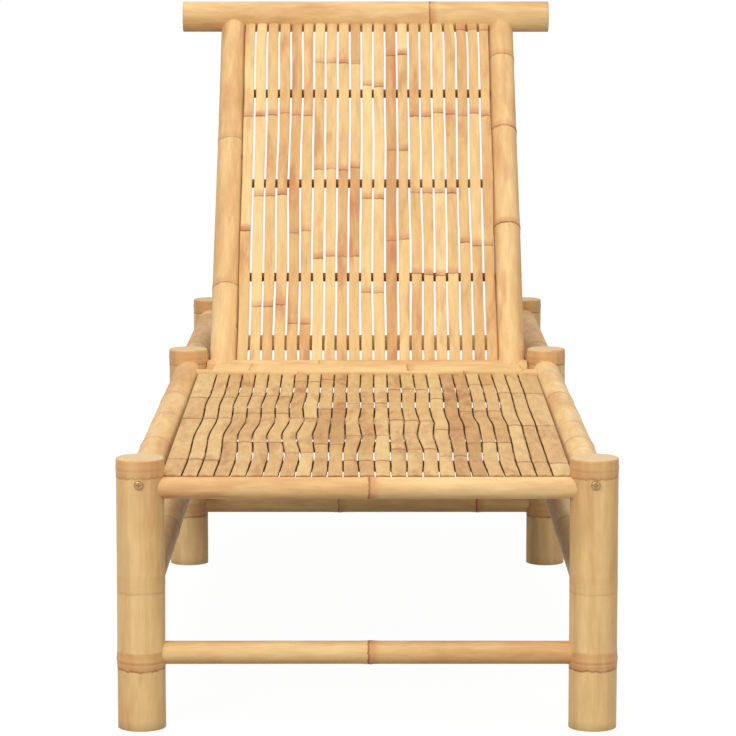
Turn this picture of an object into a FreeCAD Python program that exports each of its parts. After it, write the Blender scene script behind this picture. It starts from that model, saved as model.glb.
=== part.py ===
"""Bamboo sun lounger with an adjustable backrest, built as a parametric document.

The lounger stands on six bamboo posts. Its foot end points to -Y, its head end to +Y, and +Z is
up. The origin is on the floor, midway between the foot end and the head end. All sizes are in
millimetres and all angles in degrees.

Poles are bamboo culms: revolved bodies that taper a little and swell at their nodes. A pole that
meets a thicker one is coped to it, so that its end wraps part of the way round.
"""

import FreeCAD
import Part
import Sketcher
import os
import re

X_AXIS = FreeCAD.Vector(1, 0, 0)
Y_AXIS = FreeCAD.Vector(0, 1, 0)
Z_AXIS = FreeCAD.Vector(0, 0, 1)
LEFT = -1
RIGHT = 1

SIZES = {
    # Posts
    "post_offset": 271,
    "middle_run": 1110,
    "rear_run": 735,
    "front_post_d": 58,
    "back_post_d": 57,
    "post_height": 328.6,
    "post_rim": 2.5,
    "post_node_low": 84,
    "post_node_top": 317,
    # Bamboo nodes: how far they stand out, and half the length of the swelling
    "node_rise": 1.6,
    "node_reach": 7,
    "post_node_reach": 4,
    "thin_node_rise": 0.9,
    "thin_node_reach": 5,
    # Rails of the seat frame
    "rail_z": 292,
    "rail_d": 42,
    "rear_rail_d": 40,
    "rail_node_a": 285,
    "rail_node_b": 724,
    "rear_rail_node_a": 228,
    "rear_rail_node_b": 640,
    "front_rail_d": 26.4,
    "front_rail_lead": 5.6,
    "front_rail_node": 275,
    "seat_rear_rail_d": 26,
    "seat_rear_rail_y": 1030,
    # Low stretchers
    "stretcher_z": 91,
    "stretcher_d": 27,
    "front_stretcher_node": 275,
    "middle_stretcher_node_a": 229,
    "middle_stretcher_node_b": 439,
    "rear_stretcher_z": 102,
    "rear_stretcher_d": 38,
    "rear_stretcher_node_a": 166,
    "rear_stretcher_node_b": 391,
    "side_stretcher_z": 152,
    "side_stretcher_d": 36,
    "side_stretcher_node": 520,
    "rear_side_stretcher_node": 300,
    # Heads of the frame bolts
    "bolt_z": 298.5,
    "bolt_head_d": 11,
    "bolt_head_rise": 3.4,
    # How far a cutter runs past the faces that it cuts
    "cutter_margin": 5,
    # Seat
    "slat_count": 25,
    "slat_pitch": 19.3,
    "slat_width": 17.2,
    "slat_thickness": 6.5,
    "slat_crown": 1.6,
    "seat_top_z": 306,
    "slat_front_gap": 0.4,
    "slat_end_y": 983,
    "rod_d": 14,
    "rod_count": 6,
    "rod_first_y": 161,
    "rod_pitch": 163,
    "rod_end_gap": 0.2,
    "strip_depth": 12,
    "strip_rise": 2.5,
    "strip_gap": 0.6,
    "lath_half_length": 236,
    "lath_depth": 66,
    "lath_crown": 8,
    "lath_thickness": 7.5,
    "lath_top_z": 314,
    "lath_end_slant": 14,
    "lath_foot_slant": 4,
    # Backrest
    "rest_angle": 47,
    "pivot_bar_d": 38,
    "pivot_bar_gap": 0.6,
    "pivot_tenon_d": 24,
    "pivot_tenon_length": 16,
    "pivot_clearance": 0.05,
    "pivot_end_gap": 0.8,
    "stile_offset": 217.5,
    "stile_foot_d": 43,
    "stile_head_d": 40.5,
    "stile_foot_gap": 5,
    "left_stile_node_a": 158,
    "left_stile_node_b": 432,
    "right_stile_node_a": 280,
    "right_stile_node_b": 455,
    "right_stile_node_c": 613,
    "top_bar_d": 49,
    "top_bar_length": 598,
    "top_bar_reach": 712,
    "top_bar_lead": 3,
    "top_bar_node": 404,
    "back_slat_count": 21,
    "back_slat_pitch": 18.96,
    "back_slat_width": 15.7,
    "back_slat_thickness": 6,
    "back_slat_crown": 1.4,
    "back_slat_front": 14.7,
    "back_slat_end_gap": 0.5,
    "back_rod_d": 13.5,
    "back_rod_count": 3,
    "back_rod_first": 180,
    "back_rod_pitch": 186,
    # Prop frame: two flat legs with an eye at the foot, and a bar that rides on the racks
    "prop_reach": 285,
    "prop_leg_width": 24,
    "prop_leg_thickness": 10,
    "prop_slot_gap": 0.6,
    "prop_fold_angle": 10.4,
    "prop_slot_foot": 40,
    "prop_slot_head": 4,
    "prop_slot_knee": 1,
    "prop_end_gap": 1.5,
    "prop_bar_d": 25,
    "prop_bar_half_length": 246.5,
    "prop_bar_node": 239,
    "prop_eye_wall": 6,
    "prop_pin_d": 8,
    "prop_pin_clearance": 0.05,
    # Notched racks on the rear side rails
    "rack_inner_offset": 229,
    "rack_width": 33,
    "rack_depth": 28,
    "rack_gap": 0.3,
    "rack_first_y": 256,
    "rack_last_y": 592,
    "notch_radius": 13.5,
    "notch_drop": 6,
    "notch_low": 20,
    "notch_step": 13.5,
}

DOC = FreeCAD.newDocument("BambooLounger")
SUB_PARTS = []


def make_sheet():
    """Write every driving size into the sheet, one aliased cell each."""
    sheet = DOC.addObject("Spreadsheet::Sheet", "Sizes")
    for row, (name, value) in enumerate(SIZES.items(), start=1):
        cell = f"B{row}"
        sheet.set(f"A{row}", name)
        sheet.set(cell, str(value))
        sheet.setAlias(cell, name)
    DOC.recompute()


def cells(text):
    """Turn size names in a formula into references to the sheet."""
    def swap(match):
        word = match.group(0)
        return f"Sizes.{word}" if word in SIZES else word
    return re.sub(r"[a-z][a-z0-9_]*", swap, str(text))


def bind(item, prop, formula):
    item.setExpression(prop, cells(formula))


# Places and lengths that several pieces share, worked out from the sizes above
FRONT_Y = "(-(middle_run + rear_run + back_post_d / 2 - front_post_d / 2) / 2)"
MIDDLE_Y = f"({FRONT_Y} + middle_run)"
REAR_Y = f"({MIDDLE_Y} + rear_run)"
SPAN_BACK = "(2 * post_offset - back_post_d)"
FRONT_KNEE_D = "(front_post_d + 2 * node_rise)"
BACK_KNEE_D = "(back_post_d + 2 * node_rise)"
SLAT_UNDER_Z = "(seat_top_z - slat_thickness)"
ROD_Z = f"({SLAT_UNDER_Z} - rod_d / 2)"
SEAT_RAIL_Z = "(lath_top_z - lath_thickness - seat_rear_rail_d / 2)"
PROP_BAR_Y = f"({MIDDLE_Y} + 2 * prop_reach * cos(rest_angle))"
RACK_TOP_Z = "(rail_z - prop_bar_d / 2 - rack_gap)"
SLAT_START_Y = f"({FRONT_Y} - front_rail_lead + front_rail_d / 2 + slat_front_gap)"


def new_body(label, many=False):
    """Start a sub-part. A sub-part of several like pieces holds them as separate solids."""
    body = DOC.addObject("PartDesign::Body", label)
    body.Label = label
    body.AllowCompound = many
    SUB_PARTS.append(body)
    return body


def datum(body, role):
    """Give one of the body's own origin planes or axes."""
    for feature in body.Origin.OriginFeatures:
        if feature.Role == role:
            return feature
    raise ValueError(role)


def place(body, x=0, y=0, z=0, axis=None, angle=0):
    """Put a body at a point given by formulas, turned about one axis."""
    if axis is not None:
        body.Placement = FreeCAD.Placement(FreeCAD.Vector(), axis, 1)
        bind(body, "Placement.Rotation.Angle", angle)
    bind(body, "Placement.Base.x", x)
    bind(body, "Placement.Base.y", y)
    bind(body, "Placement.Base.z", z)


def place_on_backrest(body, x=0, lead=0, along=0, axis=X_AXIS, angle="rest_angle - 90"):
    """Put a body in the backrest's plane: along the stiles, and in front of their centre lines."""
    y = f"{MIDDLE_Y} + ({along}) * cos(rest_angle) - ({lead}) * sin(rest_angle)"
    z = f"rail_z + ({along}) * sin(rest_angle) + ({lead}) * cos(rest_angle)"
    place(body, x, y, z, axis, angle)


def sketch_on(body, role):
    sketch = body.newObject("Sketcher::SketchObject", "Profile")
    sketch.AttachmentSupport = [(datum(body, role), "")]
    sketch.MapMode = "FlatFace"
    return sketch


def dimension(sketch, kind, formula, *refs):
    """Add a driving dimension and bind it to the sheet."""
    index = sketch.addConstraint(Sketcher.Constraint(kind, *refs, value_of(formula)))
    bind(sketch, f"Constraints[{index}]", formula)


def value_of(formula):
    """Evaluate a formula, so that a sketch starts close to its solved shape."""
    return float(getattr(DOC.Sizes.evalExpression(cells(formula)), "Value",
                         DOC.Sizes.evalExpression(cells(formula))))


def polygon(sketch, points):
    """Draw a closed outline through points given as pairs of formulas."""
    spots = [FreeCAD.Vector(value_of(x), value_of(y), 0) for x, y in points]
    for index, spot in enumerate(spots):
        sketch.addGeometry(Part.LineSegment(spot, spots[(index + 1) % len(spots)]), False)
    for index in range(len(spots)):
        following = (index + 1) % len(spots)
        sketch.addConstraint(Sketcher.Constraint("Coincident", index, 2, following, 1))
    for index, (x, y) in enumerate(points):
        pin_point(sketch, index, 1, x, y)


def pin_point(sketch, line, end, x, y):
    """Tie one point to the sketch's origin by its two distances, or to an axis where one is 0."""
    if str(x) == "0":
        sketch.addConstraint(Sketcher.Constraint("PointOnObject", line, end, -2))
    else:
        dimension(sketch, "DistanceX", x, -1, 1, line, end)
    if str(y) == "0":
        sketch.addConstraint(Sketcher.Constraint("PointOnObject", line, end, -1))
    else:
        dimension(sketch, "DistanceY", y, -1, 1, line, end)


def culm_outline(length, start_d, end_d, nodes, rise, reach, rim):
    """List the half profile of a culm, which steps from one internode's diameter to the next."""
    count = len(nodes)

    def radius(index):
        return f"(({start_d}) + (({end_d}) - ({start_d})) * {index} / {max(count, 1)}) / 2"

    wall = [(radius(0), "0")]
    for index, node in enumerate(nodes):
        wall.append((radius(index), f"{node} - {reach}"))
        wall.append((f"({radius(index)} + {radius(index + 1)}) / 2 + {rise}", node))
        wall.append((radius(index + 1), f"{node} + {reach}"))
    if rim:
        wall.append((radius(count), f"{length} - {rim}"))
        wall.append((f"{radius(count)} - {rim}", length))
    else:
        wall.append((radius(count), length))
    return [("0", "0")] + wall + [("0", length)]


def culm(label, length, start_d, end_d, nodes, thin=False, rim=None):
    """Make a bamboo pole that stands on its body's origin, along +Z."""
    body = new_body(label)
    rise = "thin_node_rise" if thin else "node_rise"
    reach = "thin_node_reach" if thin else "node_reach"
    if rim:
        reach = "post_node_reach"
    sketch = sketch_on(body, "XZ_Plane")
    polygon(sketch, culm_outline(length, start_d, end_d, nodes, rise, reach, rim))
    turn = body.newObject("PartDesign::Revolution", "Culm")
    turn.Profile = sketch
    turn.ReferenceAxis = (sketch, ["V_Axis"])
    turn.Angle = 360
    sketch.Visibility = False
    return body


def bore(body, diameter, length, x=0, y=0, z=0, axis=None, angle=0):
    """Cut a round hole that starts at a point of the body's own frame."""
    hole = body.newObject("PartDesign::SubtractiveCylinder", "Bore")
    bind(hole, "Radius", f"({diameter}) / 2")
    bind(hole, "Height", length)
    if axis is not None:
        hole.Placement = FreeCAD.Placement(FreeCAD.Vector(), axis, 1)
        bind(hole, "Placement.Rotation.Angle", angle)
    bind(hole, "Placement.Base.x", x)
    bind(hole, "Placement.Base.y", y)
    bind(hole, "Placement.Base.z", z)
    return hole


def cope_between_rails(body, start_x, z, length):
    """Cut the mouths that seat crosswise poles between the two side rails."""
    for side in (LEFT, RIGHT):
        bore(body, "rail_d", length, x=f"{side} * post_offset - ({start_x})", y="-rail_d",
             z=f"rail_z - ({z})", axis=X_AXIS, angle="-90")


def repeat(body, feature, role, count, pitch):
    """Repeat a feature along one of the body's axes, as separate solids."""
    pattern = body.newObject("PartDesign::LinearPattern", "Row")
    pattern.Originals = [feature]
    pattern.Direction = (datum(body, role), [""])
    bind(pattern, "Length", f"({pitch}) * ({count} - 1)")
    bind(pattern, "Occurrences", count)
    body.Tip = pattern


def mirror_across(body, features, role="YZ_Plane"):
    mirrored = body.newObject("PartDesign::Mirrored", "Pair")
    mirrored.Originals = features
    mirrored.MirrorPlane = (datum(body, role), [""])
    body.Tip = mirrored


def side_name(side):
    return "left" if side == LEFT else "right"


# Posts

def make_post(label, side, post_d, y):
    body = culm(label, "post_height", post_d, post_d,
                ["post_node_low", "post_node_top"], rim="post_rim")
    place(body, f"{side} * post_offset", y, 0)
    return body


def make_posts():
    for side in (LEFT, RIGHT):
        name = side_name(side)
        make_post(f"front_post_{name}", side, "front_post_d", FRONT_Y)
        middle = make_post(f"middle_post_{name}", side, "back_post_d", MIDDLE_Y)
        tenon_bore = "pivot_tenon_d + 2 * pivot_clearance"
        mouth = f"({SPAN_BACK}) / 2 - pivot_bar_gap + pivot_tenon_length + pivot_end_gap - post_offset"
        depth = f"back_post_d / 2 + cutter_margin + ({mouth})"
        start = f"{-side} * (back_post_d / 2 + cutter_margin)"
        angle = "90" if side == RIGHT else "-90"
        bore(middle, tenon_bore, depth, x=start, z="rail_z", axis=Y_AXIS, angle=angle)
        make_post(f"rear_post_{name}", side, "back_post_d", REAR_Y)


# Rails and stretchers

def make_side_rail(label, side, start_y, length, diameters, copes, nodes):
    """Make a rail along Y between two posts, coped to both."""
    body = culm(label, length, diameters[0], diameters[1], nodes)
    cope_upright(body, copes[0], "0")
    cope_upright(body, copes[1], length)
    place(body, f"{side} * post_offset", start_y, "rail_z", X_AXIS, "-90")


def cope_upright(body, post_d, at):
    """Cut a mouth for a post that runs across a rail that lies along Y."""
    bore(body, post_d, f"({post_d}) * 2", y=f"-({post_d})", z=at, axis=X_AXIS, angle="-90")


def make_side_rails():
    for side in (LEFT, RIGHT):
        name = side_name(side)
        make_side_rail(f"side_rail_{name}", side, FRONT_Y, "middle_run",
                       ("rail_d", "rail_d"), ("front_post_d", "back_post_d"),
                       ["rail_node_a", "rail_node_b"])
        make_side_rail(f"rear_side_rail_{name}", side, MIDDLE_Y, "rear_run",
                       ("rail_d", "rear_rail_d"), ("back_post_d", "back_post_d"),
                       ["rear_rail_node_a", "rear_rail_node_b"])


def make_cross_pole(label, post_d, diameter, y, z, nodes, thin=True, post_lead="0"):
    """Make a pole along X between a pair of posts, coped to both."""
    body = culm(label, "2 * post_offset", diameter, diameter, nodes, thin=thin)
    for at in ("0", "2 * post_offset"):
        bore(body, post_d, f"({post_d}) * 2", x=f"-({post_d})", y=post_lead, z=at,
             axis=Y_AXIS, angle="90")
    place(body, "-post_offset", y, z, Y_AXIS, "90")
    return body


def make_side_stretcher(label, side, start_y, length, copes, nodes):
    """Make a low pole along Y between two posts, coped to both."""
    body = culm(label, length, "side_stretcher_d", "side_stretcher_d", nodes)
    cope_upright(body, copes[0], "0")
    cope_upright(body, copes[1], length)
    place(body, f"{side} * post_offset", start_y, "side_stretcher_z", X_AXIS, "-90")


def make_stretchers():
    make_cross_pole("seat_front_rail", "front_post_d", "front_rail_d",
                    f"{FRONT_Y} - front_rail_lead", "rail_z", ["front_rail_node"],
                    post_lead="front_rail_lead")
    make_cross_pole("front_stretcher", FRONT_KNEE_D, "stretcher_d", FRONT_Y, "stretcher_z",
                    ["front_stretcher_node"])
    make_cross_pole("middle_stretcher", BACK_KNEE_D, "stretcher_d", MIDDLE_Y, "stretcher_z",
                    ["middle_stretcher_node_a", "middle_stretcher_node_b"])
    make_cross_pole("rear_stretcher", BACK_KNEE_D, "rear_stretcher_d", REAR_Y,
                    "rear_stretcher_z", ["rear_stretcher_node_a", "rear_stretcher_node_b"],
                    thin=False)
    for side in (LEFT, RIGHT):
        name = side_name(side)
        make_side_stretcher(f"side_stretcher_{name}", side, FRONT_Y, "middle_run",
                            ("front_post_d", "back_post_d"),
                            ["side_stretcher_node"])
        make_side_stretcher(f"rear_side_stretcher_{name}", side, MIDDLE_Y, "rear_run",
                            ("back_post_d", "back_post_d"), ["rear_side_stretcher_node"])


# Bolt heads of the frame

def make_bolt_heads(label, post_d, y, sign):
    """Make the pair of low round bolt heads that lie against the outer faces of the end posts."""
    body = new_body(label, many=True)
    head = body.newObject("PartDesign::AdditiveCylinder", "Head")
    bind(head, "Radius", "bolt_head_d / 2")
    bind(head, "Height", "bolt_head_rise")
    bind(head, "Placement.Base.z", f"({post_d}) / 2")
    place(body, "-post_offset", y, "bolt_z", X_AXIS, "90" if sign < 0 else "-90")
    DOC.recompute()
    repeat(body, head, "X_Axis", "2", "2 * post_offset")


# Seat

def crowned_section(sketch, width, thickness, crown):
    """Draw a flat strip's section, its upper face an arc of the culm it was split from."""
    half = value_of(f"({width}) / 2")
    side = value_of(f"({thickness}) - ({crown})")
    top = value_of(thickness)
    corners = [FreeCAD.Vector(half, side, 0), FreeCAD.Vector(-half, side, 0),
               FreeCAD.Vector(-half, 0, 0), FreeCAD.Vector(half, 0, 0)]
    sketch.addGeometry(Part.Arc(corners[0], FreeCAD.Vector(0, top, 0), corners[1]), False)
    sketch.addGeometry(Part.LineSegment(corners[1], corners[2]), False)
    sketch.addGeometry(Part.LineSegment(corners[2], corners[3]), False)
    sketch.addGeometry(Part.LineSegment(corners[3], corners[0]), False)
    sketch.addConstraint(Sketcher.Constraint("Coincident", 0, 2, 1, 1))
    sketch.addConstraint(Sketcher.Constraint("Coincident", 1, 2, 2, 1))
    sketch.addConstraint(Sketcher.Constraint("Coincident", 2, 2, 3, 1))
    sketch.addConstraint(Sketcher.Constraint("Coincident", 3, 2, 0, 1))
    pin_point(sketch, 2, 1, f"-({width}) / 2", "0")
    pin_point(sketch, 2, 2, f"({width}) / 2", "0")
    pin_point(sketch, 1, 1, f"-({width}) / 2", f"({thickness}) - ({crown})")
    sketch.addConstraint(Sketcher.Constraint("Vertical", 3))
    dimension(sketch, "Radius", f"((({width}) / 2)^2 + ({crown})^2) / (2 * ({crown}))", 0)


def make_strips(label, width, thickness, crown, length, count, pitch):
    """Make a row of split-bamboo strips side by side along X, each running along -Y."""
    body = new_body(label, many=True)
    sketch = sketch_on(body, "XZ_Plane")
    crowned_section(sketch, width, thickness, crown)
    pad = body.newObject("PartDesign::Pad", "Strip")
    pad.Profile = sketch
    bind(pad, "Length", length)
    DOC.recompute()
    repeat(body, pad, "X_Axis", count, pitch)
    return body


def make_rods(label, diameter, length, count, pitch, role):
    """Make a row of round rods along X."""
    body = new_body(label, many=True)
    rod = body.newObject("PartDesign::AdditiveCylinder", "Rod")
    bind(rod, "Radius", f"({diameter}) / 2")
    bind(rod, "Height", length)
    rod.Placement = FreeCAD.Placement(FreeCAD.Vector(), Y_AXIS, 90)
    DOC.recompute()
    repeat(body, rod, role, count, pitch)
    return body


def make_seat():
    length = f"{FRONT_Y} + slat_end_y - {SLAT_START_Y}"
    slats = make_strips("seat_slats", "slat_width", "slat_thickness", "slat_crown", length,
                        "slat_count", "slat_pitch")
    place(slats, "-slat_pitch * (slat_count - 1) / 2", f"{FRONT_Y} + slat_end_y", SLAT_UNDER_Z)
    reach = "(post_offset - rail_d / 2 - rod_end_gap)"
    rods = make_rods("seat_rods", "rod_d", f"2 * {reach}", "rod_count", "rod_pitch", "Y_Axis")
    place(rods, f"-{reach}", f"{FRONT_Y} + rod_first_y", ROD_Z)
    rail = new_body("seat_rear_rail")
    pole = rail.newObject("PartDesign::AdditiveCylinder", "Pole")
    bind(pole, "Radius", "seat_rear_rail_d / 2")
    bind(pole, "Height", "2 * post_offset")
    pole.Placement = FreeCAD.Placement(FreeCAD.Vector(), Y_AXIS, 90)
    cope_between_rails(rail, "-post_offset", SEAT_RAIL_Z, "rail_d * 2")
    place(rail, "-post_offset", f"{FRONT_Y} + seat_rear_rail_y", SEAT_RAIL_Z)
    make_edge_strip()
    make_end_lath()


def make_edge_strip():
    """Make the thin cross strip behind the seat slats, coped at both ends to the side rails."""
    body = new_body("seat_edge_strip")
    block = body.newObject("PartDesign::AdditiveBox", "Strip")
    bind(block, "Length", "2 * post_offset")
    bind(block, "Width", "strip_depth")
    bind(block, "Height", "slat_thickness + strip_rise")
    cope_between_rails(body, "-post_offset", SLAT_UNDER_Z, "rail_d * 2")
    place(body, "-post_offset", f"{FRONT_Y} + slat_end_y + strip_gap", SLAT_UNDER_Z)


def make_end_lath():
    """Make the wide split lath across the head end of the seat, with slanted ends."""
    body = new_body("seat_end_lath")
    sketch = sketch_on(body, "YZ_Plane")
    outer = "(((lath_depth / 2)^2 + lath_crown^2) / (2 * lath_crown))"
    half = value_of("lath_depth / 2")
    edge = value_of("-lath_crown")
    thick = value_of("lath_thickness")
    sketch.addGeometry(Part.Arc(FreeCAD.Vector(half, edge, 0), FreeCAD.Vector(0, 0, 0),
                                FreeCAD.Vector(-half, edge, 0)), False)
    sketch.addGeometry(Part.Arc(FreeCAD.Vector(half, edge - thick, 0), FreeCAD.Vector(0, -thick, 0),
                                FreeCAD.Vector(-half, edge - thick, 0)), False)
    sketch.addGeometry(Part.LineSegment(FreeCAD.Vector(-half, edge, 0),
                                        FreeCAD.Vector(-half, edge - thick, 0)), False)
    sketch.addGeometry(Part.LineSegment(FreeCAD.Vector(half, edge - thick, 0),
                                        FreeCAD.Vector(half, edge, 0)), False)
    sketch.addConstraint(Sketcher.Constraint("Coincident", 0, 2, 2, 1))
    sketch.addConstraint(Sketcher.Constraint("Coincident", 2, 2, 1, 2))
    sketch.addConstraint(Sketcher.Constraint("Coincident", 1, 1, 3, 1))
    sketch.addConstraint(Sketcher.Constraint("Coincident", 3, 2, 0, 1))
    pin_point(sketch, 2, 1, "-lath_depth / 2", "-lath_crown")
    pin_point(sketch, 3, 2, "lath_depth / 2", "-lath_crown")
    pin_point(sketch, 2, 2, "-lath_depth / 2", "-lath_crown - lath_thickness")
    pin_point(sketch, 3, 1, "lath_depth / 2", "-lath_crown - lath_thickness")
    dimension(sketch, "Radius", outer, 0)
    dimension(sketch, "Radius", outer, 1)
    pad = body.newObject("PartDesign::Pad", "Lath")
    pad.Profile = sketch
    pad.Midplane = True
    bind(pad, "Length", "2 * lath_half_length")
    ends = sketch_on(body, "XZ_Plane")
    outside = "lath_half_length + cutter_margin"
    below = "-lath_crown - lath_thickness - cutter_margin"
    polygon(ends, [("lath_half_length - lath_end_slant", "cutter_margin"),
                   (outside, "cutter_margin"), (outside, below),
                   ("lath_half_length + lath_foot_slant", below)])
    slant = body.newObject("PartDesign::Pocket", "Slant")
    slant.Profile = ends
    slant.Midplane = True
    bind(slant, "Length", "lath_depth * 2")
    DOC.recompute()
    mirror_across(body, [slant])
    place(body, 0, f"{FRONT_Y} + seat_rear_rail_y", "lath_top_z")


# Backrest

def make_backrest():
    half = f"(({SPAN_BACK}) / 2 - pivot_bar_gap)"
    bar = new_body("pivot_bar")
    pole = bar.newObject("PartDesign::AdditiveCylinder", "Pole")
    bind(pole, "Radius", "pivot_bar_d / 2")
    bind(pole, "Height", f"2 * {half}")
    tenon = bar.newObject("PartDesign::AdditiveCylinder", "Tenons")
    bind(tenon, "Radius", "pivot_tenon_d / 2")
    bind(tenon, "Height", f"2 * ({half} + pivot_tenon_length)")
    bind(tenon, "Placement.Base.z", "-pivot_tenon_length")
    place(bar, f"-{half}", MIDDLE_Y, "rail_z", Y_AXIS, "90")
    nodes = {LEFT: ["left_stile_node_a", "left_stile_node_b"],
             RIGHT: ["right_stile_node_a", "right_stile_node_b", "right_stile_node_c"]}
    for side in (LEFT, RIGHT):
        make_stile(side, nodes[side])
    top = culm("top_bar", "top_bar_length", "top_bar_d", "top_bar_d",
               ["top_bar_node"])
    place_on_backrest(top, "-top_bar_length / 2", "top_bar_lead", "top_bar_reach", Y_AXIS, "90")
    make_back_slats()
    reach = "(stile_offset - stile_foot_d / 2 - rod_end_gap)"
    rods = make_rods("backrest_rods", "back_rod_d", f"2 * {reach}", "back_rod_count",
                     "back_rod_pitch", "Z_Axis")
    place_on_backrest(rods, f"-{reach}", BACK_ROD_LEAD, "back_rod_first")
    make_prop_pins()


BACK_ROD_LEAD = "(back_slat_front - back_slat_thickness - back_rod_d / 2)"
STILE_LENGTH = "(top_bar_reach - stile_foot_gap)"


def make_stile(side, nodes):
    """Make a stile, coped to both bars and slotted at the back for its prop leg."""
    spots = [f"{node} - stile_foot_gap" for node in nodes]
    body = culm(f"stile_{side_name(side)}", STILE_LENGTH, "stile_foot_d", "stile_head_d", spots)
    bore(body, "pivot_bar_d", "stile_foot_d * 2", x="-stile_foot_d", z="-stile_foot_gap",
         axis=Y_AXIS, angle="90")
    bore(body, "top_bar_d", "stile_foot_d * 2", x="-stile_foot_d", y="-top_bar_lead",
         z=STILE_LENGTH, axis=Y_AXIS, angle="90")
    cut_prop_slot(body)
    place_on_backrest(body, f"{side} * stile_offset", "0", "stile_foot_gap")
    return body


def cut_prop_slot(body):
    """Cut the slot in the stile's rear wall in which the prop leg swings and folds away."""
    sketch = sketch_on(body, "YZ_Plane")
    pivot = "(prop_reach - stile_foot_gap)"
    round_end = "(prop_leg_width / 2 + prop_end_gap)"
    back = "(stile_foot_d / 2 + prop_slot_head)"
    fold = f"({back} + {round_end}) / tan(prop_fold_angle)"
    polygon(sketch, [(back, f"{pivot} - prop_slot_foot"),
                     ("prop_slot_knee", f"{pivot} - prop_leg_width * 0.75"),
                     (f"-{round_end}", f"{pivot} - {round_end}"),
                     (f"-{round_end}", f"{pivot} + prop_slot_head"),
                     (back, f"{pivot} + prop_slot_head + {fold}")])
    slot = body.newObject("PartDesign::Pocket", "PropSlot")
    slot.Profile = sketch
    slot.Midplane = True
    bind(slot, "Length", "prop_leg_thickness + 2 * prop_slot_gap")


def make_back_slats():
    """Make the backrest's strips, which run from the top bar down to the pivot bar."""
    foot = "(pivot_bar_d / 2 + back_slat_end_gap)"
    clear = "sqrt((top_bar_d / 2)^2 - (back_slat_front - back_slat_thickness - top_bar_lead)^2)"
    head = f"(top_bar_reach - {clear} - back_slat_end_gap)"
    body = make_strips("backrest_slats", "back_slat_width", "back_slat_thickness",
                       "back_slat_crown", f"{head} - {foot}", "back_slat_count",
                       "back_slat_pitch")
    place_on_backrest(body, "-back_slat_pitch * (back_slat_count - 1) / 2",
                      "back_slat_front - back_slat_thickness", head, X_AXIS, "rest_angle")


def make_prop_pins():
    """Make the pins across the stiles' slots on which the prop legs swing."""
    length = "(prop_leg_thickness + 2 * prop_slot_gap)"
    body = new_body("prop_pins", many=True)
    pin = body.newObject("PartDesign::AdditiveCylinder", "Pin")
    bind(pin, "Radius", "prop_pin_d / 2")
    bind(pin, "Height", length)
    pin.Placement = FreeCAD.Placement(FreeCAD.Vector(), Y_AXIS, 90)
    DOC.recompute()
    repeat(body, pin, "X_Axis", "2", "2 * stile_offset")
    place_on_backrest(body, f"-stile_offset - {length} / 2", "0", "prop_reach")


# Prop frame and racks

def make_prop():
    for side in (LEFT, RIGHT):
        body = new_body(f"prop_leg_{side_name(side)}")
        block = body.newObject("PartDesign::AdditiveBox", "Leg")
        bind(block, "Length", "prop_leg_thickness")
        bind(block, "Width", "prop_leg_width")
        bind(block, "Height", "prop_reach")
        bind(block, "Placement.Base.x", "-prop_leg_thickness / 2")
        bind(block, "Placement.Base.y", "-prop_leg_width / 2")
        for height, radius in (("0", "prop_bar_d / 2 + prop_eye_wall"),
                               ("prop_reach", "prop_leg_width / 2")):
            end = body.newObject("PartDesign::AdditiveCylinder", "RoundEnd")
            bind(end, "Radius", radius)
            bind(end, "Height", "prop_leg_thickness")
            end.Placement = FreeCAD.Placement(FreeCAD.Vector(), Y_AXIS, 90)
            bind(end, "Placement.Base.x", "-prop_leg_thickness / 2")
            bind(end, "Placement.Base.z", height)
        bore(body, "prop_bar_d", "prop_leg_thickness * 2", x="-prop_leg_thickness",
             axis=Y_AXIS, angle="90")
        bore(body, "prop_pin_d + 2 * prop_pin_clearance", "prop_leg_thickness * 2",
             x="-prop_leg_thickness", z="prop_reach", axis=Y_AXIS, angle="90")
        place(body, f"{side} * stile_offset", PROP_BAR_Y, "rail_z", X_AXIS, "90 - rest_angle")
    bar = culm("prop_bar", "2 * prop_bar_half_length", "prop_bar_d", "prop_bar_d",
               ["prop_bar_node"], thin=True)
    place(bar, "-prop_bar_half_length", PROP_BAR_Y, "rail_z", Y_AXIS, "90")


def make_racks():
    """Make the two notched racks, coped to the undersides of the rear side rails."""
    for side in (LEFT, RIGHT):
        body = new_body(f"prop_rack_{side_name(side)}")
        block = body.newObject("PartDesign::AdditiveBox", "Rack")
        bind(block, "Length", "rack_width")
        bind(block, "Width", "rack_last_y - rack_first_y")
        bind(block, "Height", "rack_depth")
        inner = "rack_inner_offset" if side == RIGHT else "-rack_inner_offset - rack_width"
        centre = f"({side} * post_offset) - ({inner})"
        for step in range(4):
            notch_y = f"2 * prop_reach * cos(notch_low + {step} * notch_step) - rack_first_y"
            bore(body, "2 * notch_radius", "rack_width * 2", x="-rack_width / 2", y=notch_y,
                 z="rack_depth + notch_radius - notch_drop", axis=Y_AXIS, angle="90")
        bore(body, "rail_d", "(rack_last_y - rack_first_y) * 2", x=centre,
             y="-(rack_last_y - rack_first_y) / 2", z=f"rail_z - {RACK_TOP_Z} + rack_depth",
             axis=X_AXIS, angle="-90")
        place(body, inner, f"{MIDDLE_Y} + rack_first_y", f"{RACK_TOP_Z} - rack_depth")


def check_document():
    """Stop if any object failed to compute or any sub-part is not a valid solid."""
    for item in DOC.Objects:
        if "Invalid" in item.State or "Error" in item.State:
            raise RuntimeError(f"{item.Label} failed: {item.State}")
    for body in SUB_PARTS:
        if body.Shape.isNull() or not body.Shape.isValid() or not body.Shape.Solids:
            raise RuntimeError(f"{body.Label} has no valid solid")


def write_parts():
    os.makedirs("parts", exist_ok=True)
    for body in SUB_PARTS:
        body.Shape.exportStep(f"parts/{body.Label}.step")


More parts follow.
